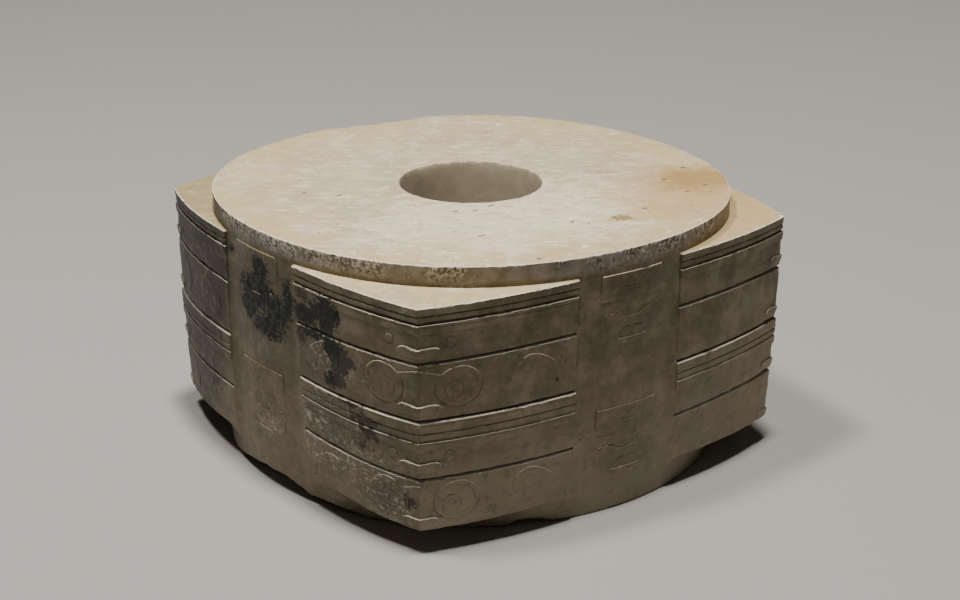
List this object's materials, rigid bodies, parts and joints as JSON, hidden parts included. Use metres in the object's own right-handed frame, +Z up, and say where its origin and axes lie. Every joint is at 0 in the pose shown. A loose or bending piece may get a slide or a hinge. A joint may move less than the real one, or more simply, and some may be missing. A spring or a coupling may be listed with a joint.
{
  "type": "jade cong",
  "caption": "Square-sided jade tube with a round bore and round collars, its corners carved with mask faces and its grooves with crowned figures, for display.",
  "frame": {"origin": "middle of the underside, on the axis of the bore", "axes": "+Z up along the bore, -Y out of the front side, +X out of the right-hand side; the near corner of the picture is the one between -X and -Y"},
  "size_m": [0.1718, 0.1718, 0.089],
  "materials": {
    "jade": "satin"
  },
  "bodies": {
    "root": {"jade_cong": "jade"}
  },
  "joints": []
}
